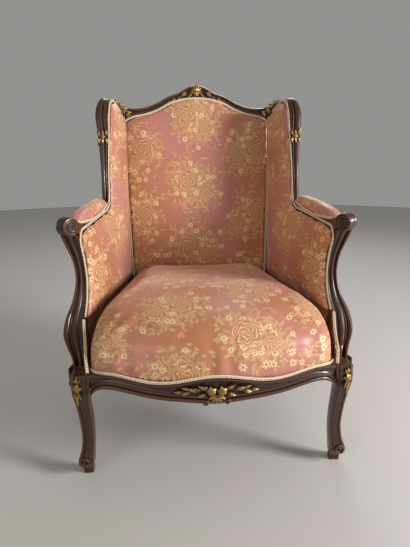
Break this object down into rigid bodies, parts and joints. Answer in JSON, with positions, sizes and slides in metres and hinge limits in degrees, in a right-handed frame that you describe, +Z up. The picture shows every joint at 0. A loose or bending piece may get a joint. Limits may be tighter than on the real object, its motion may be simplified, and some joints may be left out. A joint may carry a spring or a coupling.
{
  "type": "bergere armchair",
  "caption": "Winged bergere armchair with a carved dark wood show frame, tight sprung seat and rose brocade cover.",
  "frame": {"origin": "on the floor under the centre of the bounding box", "axes": "+Z up, +Y to the back, -Y to the front, left as seen from the front is -X"},
  "size_m": [0.7488, 0.7486, 1.0069],
  "materials": {
    "carved_walnut": "satin lacquer",
    "beech_rails": "planed, unfinished",
    "gilt_carving": "antique gilding on carved wood",
    "rose_brocade": "satin brocade with woven flowers",
    "gimp_braid": "woven cream and gold gimp",
    "stuffing": "bound fibre",
    "jute_webbing": "plain woven jute",
    "spring_steel": "coppered wire",
    "black_cambric": "black cambric"
  },
  "bodies": {
    "root": {"arm_rail_left": "carved_walnut", "arm_rail_right": "carved_walnut", "arm_support_left": "carved_walnut", "arm_support_right": "carved_walnut", "crest_rail": "carved_walnut", "front_leg_left": "carved_walnut", "front_leg_right": "carved_walnut", "front_seat_rail": "carved_walnut", "rear_post_left": "carved_walnut", "rear_post_right": "carved_walnut", "wing_post_left": "carved_walnut", "wing_post_right": "carved_walnut", "wing_top_rail_left": "carved_walnut", "wing_top_rail_right": "carved_walnut", "arm_stuffing_rail_left": "beech_rails", "arm_stuffing_rail_right": "beech_rails", "back_bottom_rail": "beech_rails", "front_corner_block_left": "beech_rails", "front_corner_block_right": "beech_rails", "rear_corner_block_left": "beech_rails", "rear_corner_block_right": "beech_rails", "rear_seat_rail": "beech_rails", "side_seat_rail_left": "beech_rails", "side_seat_rail_right": "beech_rails", "apron_carving": "gilt_carving", "corner_carving_left": "gilt_carving", "corner_carving_right": "gilt_carving", "crest_carving": "gilt_carving", "knee_carving_left": "gilt_carving", "knee_carving_right": "gilt_carving", "wing_carving_left": "gilt_carving", "wing_carving_right": "gilt_carving", "arm_pad_cover_left": "rose_brocade", "arm_pad_cover_right": "rose_brocade", "inside_back_cover": "rose_brocade", "inside_side_cover_left": "rose_brocade", "inside_side_cover_right": "rose_brocade", "outside_back_cover": "rose_brocade", "outside_side_cover_left": "rose_brocade", "outside_side_cover_right": "rose_brocade", "seat_cover": "rose_brocade", "arm_pad_gimp_left": "gimp_braid", "arm_pad_gimp_right": "gimp_braid", "back_gimp": "gimp_braid", "seat_gimp": "gimp_braid", "side_gimp_left": "gimp_braid", "side_gimp_right": "gimp_braid", "arm_pad_left": "stuffing", "arm_pad_right": "stuffing", "back_stuffing": "stuffing", "seat_stuffing": "stuffing", "side_stuffing_left": "stuffing", "side_stuffing_right": "stuffing", "back_webbing": "jute_webbing", "seat_webbing": "jute_webbing", "spring_canvas": "jute_webbing", "seat_springs": "spring_steel", "dust_cover": "black_cambric"}
  },
  "joints": []
}
